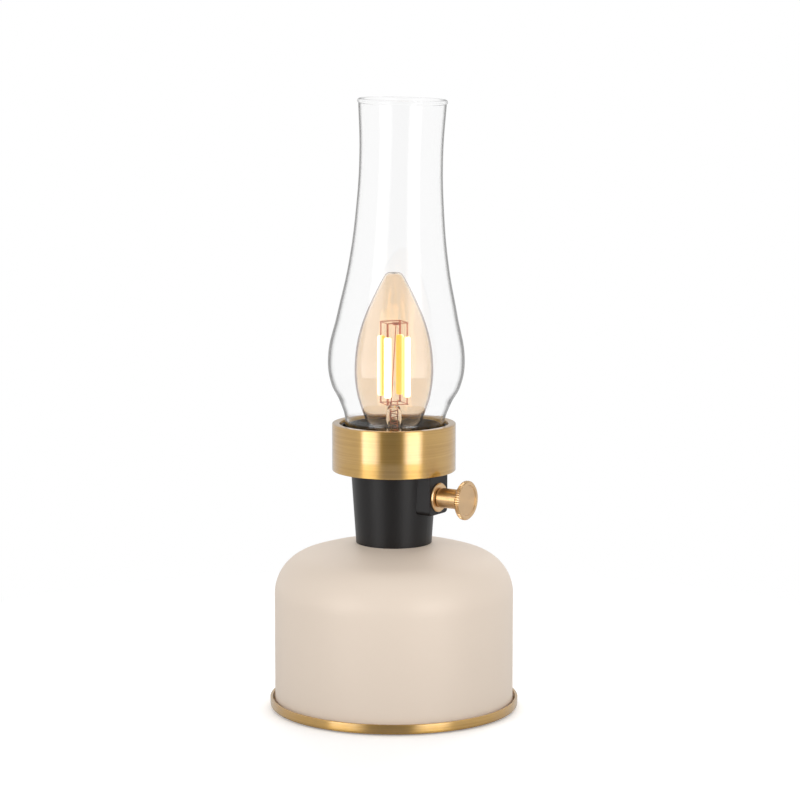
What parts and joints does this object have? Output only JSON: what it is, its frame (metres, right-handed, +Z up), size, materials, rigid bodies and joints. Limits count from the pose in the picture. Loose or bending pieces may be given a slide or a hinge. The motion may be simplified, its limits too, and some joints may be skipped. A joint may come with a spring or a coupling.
{
  "type": "table lamp",
  "caption": "Cordless lantern table lamp: domed powder-coated base, brass collar and side dimmer knob, clear glass chimney over a candle bulb.",
  "frame": {"origin": "centre of the foot pad's underside, on the table", "axes": "+Z up through the chimney, +X along the dimmer knob's shaft, -X towards the charging inlet"},
  "size_m": [0.11, 0.11, 0.2697],
  "materials": {
    "black_rubber": "matt",
    "brushed_brass": "brushed round the axis",
    "turned_brass": "turned",
    "zinc_steel": "zinc plated",
    "beige_powder_coat": "fine matt powder coat",
    "black_powder_coat": "satin powder coat",
    "black_moulding": "moulded",
    "cell_wrap": "shrink wrap",
    "board_laminate": "solder mask",
    "nickel_sheet": "nickel plated",
    "nickel_wire": "drawn wire",
    "contact_brass": "plain",
    "clear_glass": "clear",
    "amber_glass": "faint amber tint",
    "black_glass": "glossy",
    "glowing_filament": "phosphor coated, lit",
    "lead_insulation": "soft insulation"
  },
  "bodies": {
    "base_body": {"foot_pad": "black_rubber", "base_dish": "brushed_brass", "base_screws": "zinc_steel", "ballast_plate": "zinc_steel", "body_shell": "beige_powder_coat", "centre_tube": "zinc_steel", "tube_nuts": "zinc_steel", "battery_cells": "cell_wrap", "battery_cradle": "black_moulding", "board_standoffs": "contact_brass", "control_board": "board_laminate", "charge_socket": "nickel_sheet", "inlet_bezel": "black_rubber", "neck_housing": "black_powder_coat", "dimmer_body": "black_moulding", "dimmer_escutcheon": "turned_brass", "collar_ring": "brushed_brass", "gallery_cup": "black_powder_coat", "holder_ring": "black_moulding", "holder_body": "black_moulding", "holder_shell": "nickel_sheet", "holder_contact": "contact_brass", "holder_leads": "lead_insulation", "dimmer_leads": "lead_insulation"},
    "knob_body": {"knob": "turned_brass", "dimmer_shaft": "zinc_steel"},
    "chimney_body": {"chimney_glass": "clear_glass"},
    "bulb_body": {"bulb_envelope": "amber_glass", "bulb_stem": "clear_glass", "bulb_filaments": "glowing_filament", "bulb_wires": "nickel_wire", "bulb_cap": "nickel_sheet", "bulb_insulator": "black_glass", "bulb_contact": "contact_brass"}
  },
  "joints": [
    {"name": "dimmer_turn", "type": "hinge", "parent": "base_body", "child": "knob_body", "pos_m": [0.03, 0, 0.0964], "axis": [1, 0, 0], "range_deg": [-30, 270]},
    {"name": "chimney_lift", "type": "slide", "parent": "base_body", "child": "chimney_body", "axis": [0, 0, 1], "range_m": [0, 0.1]},
    {"name": "bulb_out", "type": "slide", "parent": "base_body", "child": "bulb_body", "axis": [0, 0, 1], "range_m": [0, 0.025]}
  ]
}
